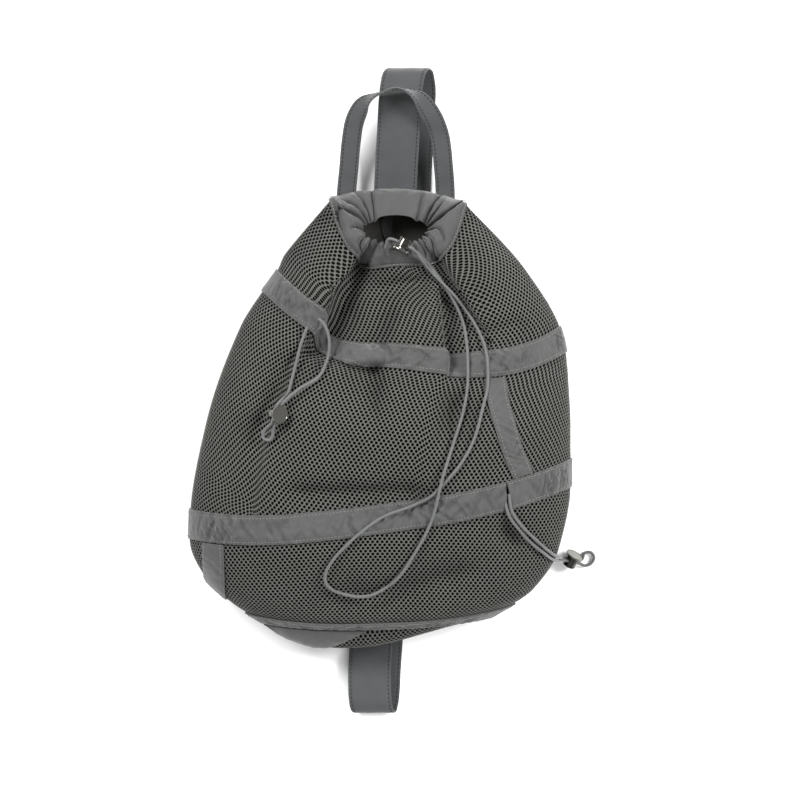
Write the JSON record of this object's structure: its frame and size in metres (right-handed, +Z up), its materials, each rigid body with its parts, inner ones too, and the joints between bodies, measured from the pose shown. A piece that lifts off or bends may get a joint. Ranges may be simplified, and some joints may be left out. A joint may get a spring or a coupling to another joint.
{
  "type": "drawstring mesh bag",
  "caption": "Stuffed air-mesh sling bag lying on its back, with a gathered mouth, taped seams, a wide strap, a grab handle and elastic cords with spring locks.",
  "frame": {"origin": "middle of the bag's box on the floor that it lies on, cords left out", "axes": "+X to the right of the front, +Y from the base to the mouth, +Z up from the floor through the front"},
  "size_m": [0.3786, 0.603, 0.1231],
  "materials": {
    "mesh": "open air mesh, matt",
    "tape": "plain woven nylon, dull",
    "strap": "plain woven nylon over webbing, dull",
    "cord": "braided elastic",
    "lock_metal": "dark nickel, polished"
  },
  "bodies": {
    "bag": {"mesh_top": "mesh", "mesh_middle": "mesh", "mesh_lower": "mesh", "mesh_base": "mesh", "mouth_casing": "tape", "upper_tape": "tape", "lower_tape": "tape", "base_binding": "tape", "seam_tape_middle": "tape", "seam_tape_lower": "tape", "seam_tape_inner": "tape", "shoulder_strap": "strap", "grab_handle": "strap", "mouth_cord": "cord", "left_cord": "cord", "right_cord": "cord", "mouth_lock_barrel": "lock_metal", "left_lock_barrel": "lock_metal", "right_lock_barrel": "lock_metal"},
    "mouth_button": {"mouth_lock_button": "lock_metal"},
    "left_button": {"left_lock_button": "lock_metal"},
    "right_button": {"right_lock_button": "lock_metal"}
  },
  "joints": [
    {"name": "mouth_button_press", "type": "slide", "parent": "bag", "child": "mouth_button", "axis": [0.453, 0.8858, -0.1007], "range_m": [0, 0.0014], "stiffness_N_per_m": 500, "springref_m": -0.006},
    {"name": "left_button_press", "type": "slide", "parent": "bag", "child": "left_button", "axis": [-0.5517, 0.0502, -0.8325], "range_m": [0, 0.0014], "stiffness_N_per_m": 500, "springref_m": -0.006},
    {"name": "right_button_press", "type": "slide", "parent": "bag", "child": "right_button", "axis": [-0.4506, -0.8211, -0.3505], "range_m": [0, 0.0014], "stiffness_N_per_m": 500, "springref_m": -0.006}
  ]
}
